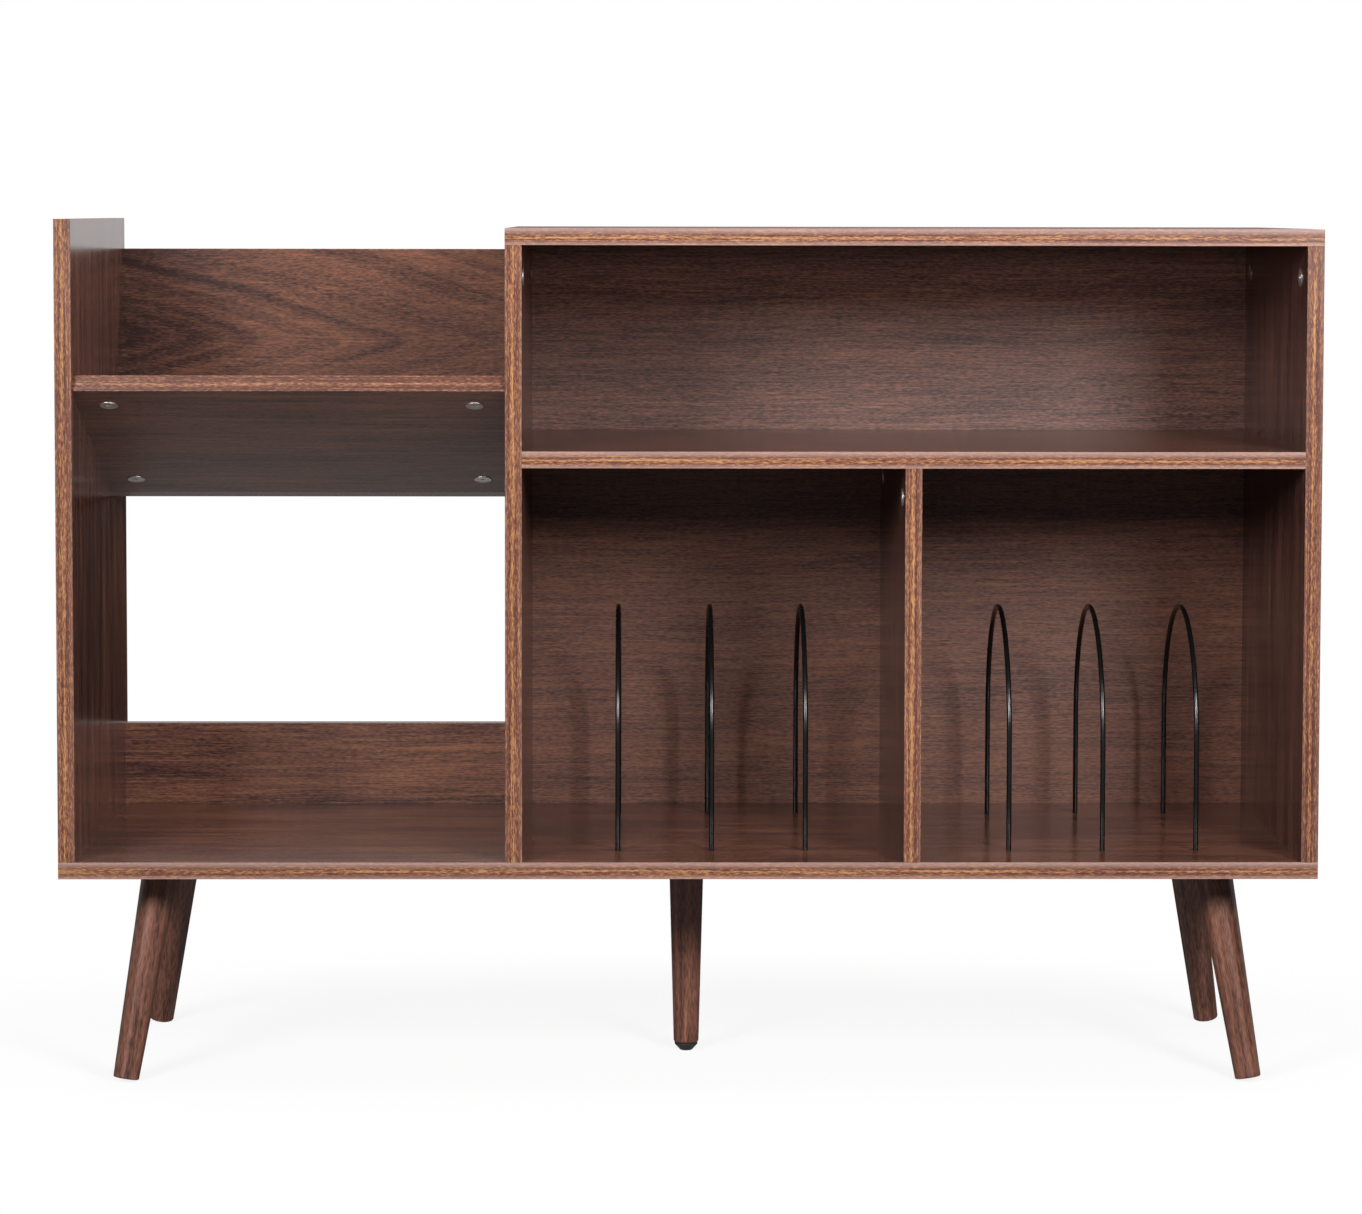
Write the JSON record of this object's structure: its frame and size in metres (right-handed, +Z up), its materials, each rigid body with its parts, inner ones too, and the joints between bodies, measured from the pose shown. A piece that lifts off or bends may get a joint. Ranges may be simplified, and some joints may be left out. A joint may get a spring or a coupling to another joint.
{
  "type": "audio console",
  "caption": "Low walnut-look audio console on splayed legs: an equipment bay over record bays with lift-out wire dividers, beside an open bay with a sloping sleeve rack.",
  "frame": {"origin": "on the floor under the middle of the console's width and depth", "axes": "+X to the right seen from the front, +Y to the back, +Z up"},
  "size_m": [1.2, 0.4, 0.833],
  "materials": {
    "walnut_foil_board": "satin walnut foil",
    "walnut_foil_sheet": "satin walnut foil",
    "edging_strip": "satin wood print",
    "stained_leg_wood": "stained and lacquered",
    "bracket_steel": "black powder coat",
    "black_wire": "gloss black coat",
    "zinc_alloy": "die cast",
    "zinc_plated_steel": "zinc plated",
    "beech_dowel": "fluted, plain",
    "foot_plastic": "moulded black",
    "brass_insert": "plain"
  },
  "bodies": {
    "console": {"bottom_board_edging": "edging_strip", "bottom_board": "walnut_foil_board", "left_end_edging": "edging_strip", "left_end_board": "walnut_foil_board", "partition_edging": "edging_strip", "rack_partition": "walnut_foil_board", "right_end_edging": "edging_strip", "right_end_board": "walnut_foil_board", "top_board_edging": "edging_strip", "top_board": "walnut_foil_board", "shelf_edging": "edging_strip", "middle_shelf": "walnut_foil_board", "bay_divider_edging": "edging_strip", "lower_bay_divider": "walnut_foil_board", "rear_rail_edging": "edging_strip", "rear_rail": "walnut_foil_board", "rack_seat_edging": "edging_strip", "rack_seat": "walnut_foil_board", "rack_backrest_edging": "edging_strip", "rack_backrest": "walnut_foil_board", "back_sheet": "walnut_foil_sheet", "cam_locks": "zinc_alloy", "cam_bolts": "zinc_alloy", "wood_dowels": "beech_dowel", "base_screws": "zinc_plated_steel", "front_left_leg": "stained_leg_wood", "front_left_leg_bracket": "bracket_steel", "leg_hanger_bolts": "zinc_plated_steel", "bracket_screws": "zinc_plated_steel", "front_right_leg": "stained_leg_wood", "front_right_leg_bracket": "bracket_steel", "rear_left_leg": "stained_leg_wood", "rear_left_leg_bracket": "bracket_steel", "rear_right_leg": "stained_leg_wood", "rear_right_leg_bracket": "bracket_steel", "centre_leg": "stained_leg_wood", "centre_leg_bracket": "bracket_steel", "leveller_insert": "brass_insert"},
    "wire_divider_1_body": {"wire_divider_1": "black_wire"},
    "wire_divider_2_body": {"wire_divider_2": "black_wire"},
    "wire_divider_3_body": {"wire_divider_3": "black_wire"},
    "wire_divider_4_body": {"wire_divider_4": "black_wire"},
    "wire_divider_5_body": {"wire_divider_5": "black_wire"},
    "wire_divider_6_body": {"wire_divider_6": "black_wire"},
    "levelling_foot": {"leveller_pad": "foot_plastic", "leveller_stud": "zinc_plated_steel"}
  },
  "joints": [
    {"name": "wire_divider_1_lift", "type": "slide", "parent": "console", "child": "wire_divider_1_body", "axis": [0, 0, 1], "range_m": [0, 0.14]},
    {"name": "wire_divider_2_lift", "type": "slide", "parent": "console", "child": "wire_divider_2_body", "axis": [0, 0, 1], "range_m": [0, 0.14]},
    {"name": "wire_divider_3_lift", "type": "slide", "parent": "console", "child": "wire_divider_3_body", "axis": [0, 0, 1], "range_m": [0, 0.14]},
    {"name": "wire_divider_4_lift", "type": "slide", "parent": "console", "child": "wire_divider_4_body", "axis": [0, 0, 1], "range_m": [0, 0.14]},
    {"name": "wire_divider_5_lift", "type": "slide", "parent": "console", "child": "wire_divider_5_body", "axis": [0, 0, 1], "range_m": [0, 0.14]},
    {"name": "wire_divider_6_lift", "type": "slide", "parent": "console", "child": "wire_divider_6_body", "axis": [0, 0, 1], "range_m": [0, 0.14]},
    {"name": "levelling_foot_screw", "type": "slide", "parent": "console", "child": "levelling_foot", "axis": [0, 0, -1], "range_m": [0, 0.012]}
  ]
}
